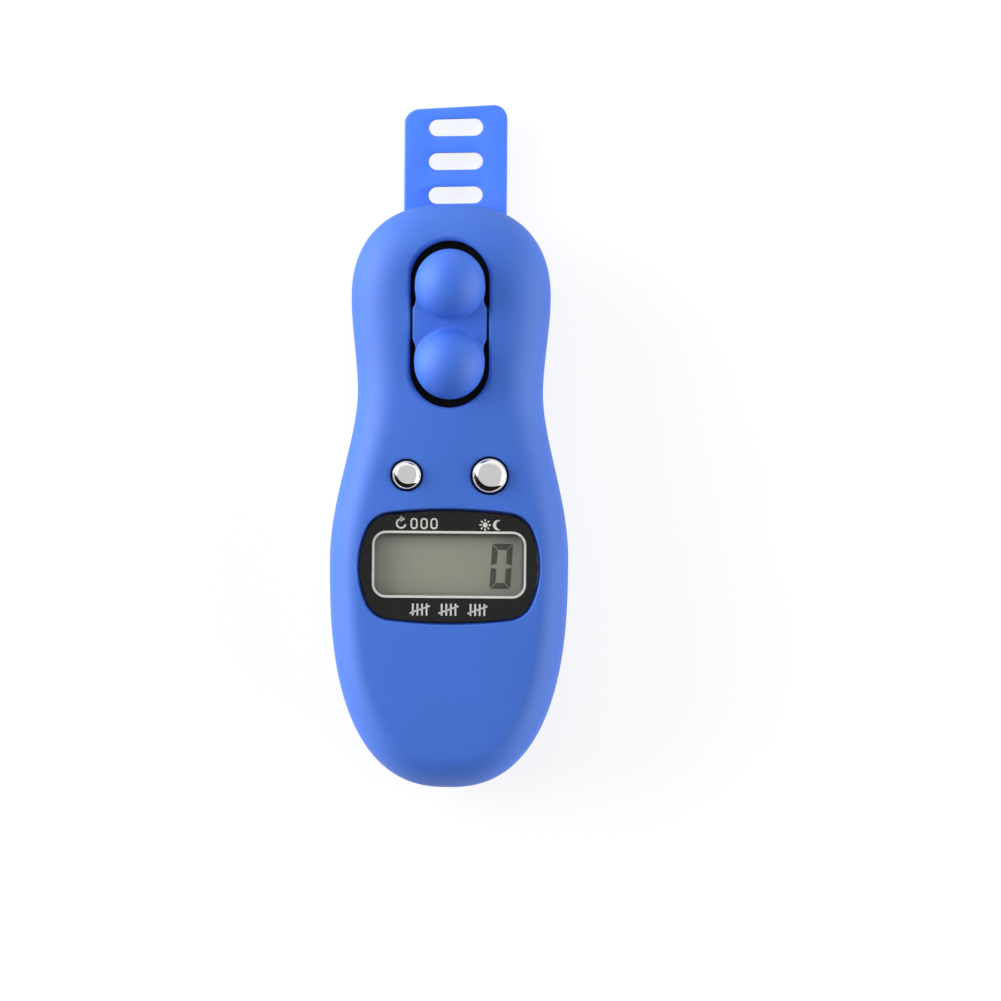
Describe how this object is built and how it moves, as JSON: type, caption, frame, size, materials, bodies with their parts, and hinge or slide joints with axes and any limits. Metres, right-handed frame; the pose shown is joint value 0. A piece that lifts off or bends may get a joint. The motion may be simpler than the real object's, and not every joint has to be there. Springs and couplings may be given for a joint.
{
  "type": "digital tally counter",
  "caption": "Hand-held digital tally counter: waisted soft-touch case, sliding bead thumb piece, domed reset and light buttons, small display, silicone finger band.",
  "frame": {"origin": "On the flat back, on the centre line, on the strip between the battery door and the finger band's channel.", "axes": "+X to the right of the face, +Y towards the bead end and the band's free end, +Z out of the face. The counter lies on its back."},
  "size_m": [0.0322, 0.0927, 0.019],
  "materials": {
    "case": "soft-touch blue coat on moulded ABS",
    "bead": "satin blue moulded ABS",
    "band": "matt moulded silicone",
    "chrome": "mirror chrome plate",
    "lens": "clear acrylic printed black behind",
    "lcd": "grey-green reflective display glass",
    "white_plastic": "moulded",
    "clear": "clear acrylic light guide",
    "black_plastic": "moulded",
    "board": "glass-fibre laminate with solder mask",
    "rubber": "layered conductive silicone",
    "steel": "zinc plated",
    "bronze": "phosphor bronze strip"
  },
  "bodies": {
    "case": {"front_shell": "case", "rear_shell": "case", "battery_door": "case", "slider_retainer": "black_plastic", "centring_spring_upper": "steel", "centring_spring_lower": "steel", "reset_switch": "black_plastic", "light_switch": "black_plastic", "display_lens": "lens", "lcd_panel": "lcd", "lcd_holder": "white_plastic", "light_guide": "clear", "backlight_led": "white_plastic", "zebra_connector": "rubber", "circuit_board": "board", "controller_chip": "black_plastic", "supply_capacitor": "black_plastic", "timing_resistor": "black_plastic", "coin_cell": "steel", "negative_contact": "bronze", "positive_contact": "bronze", "finger_band": "band", "case_screw_1": "steel", "case_screw_2": "steel", "case_screw_3": "steel", "case_screw_4": "steel", "board_screw_1": "steel", "board_screw_2": "steel", "retainer_screw_1": "steel", "retainer_screw_2": "steel", "retainer_screw_3": "steel", "retainer_screw_4": "steel", "battery_door_screw": "steel"},
    "thumb_piece": {"bead_slider": "bead", "contact_wiper": "bronze"},
    "reset_key": {"reset_button": "chrome", "reset_plunger": "white_plastic"},
    "light_key": {"light_button": "chrome", "light_plunger": "white_plastic"}
  },
  "joints": [
    {"name": "bead_slide", "type": "slide", "parent": "case", "child": "thumb_piece", "axis": [0, 1, 0], "range_m": [-0.0009, 0.0009], "stiffness_N_per_m": 900, "deforming": ["centring_spring_upper", "centring_spring_lower"]},
    {"name": "reset_press", "type": "slide", "parent": "case", "child": "reset_key", "axis": [0, 0, -1], "range_m": [0, 0.0005], "stiffness_N_per_m": 2500},
    {"name": "light_press", "type": "slide", "parent": "case", "child": "light_key", "axis": [0, 0, -1], "range_m": [0, 0.0005], "stiffness_N_per_m": 2500}
  ]
}
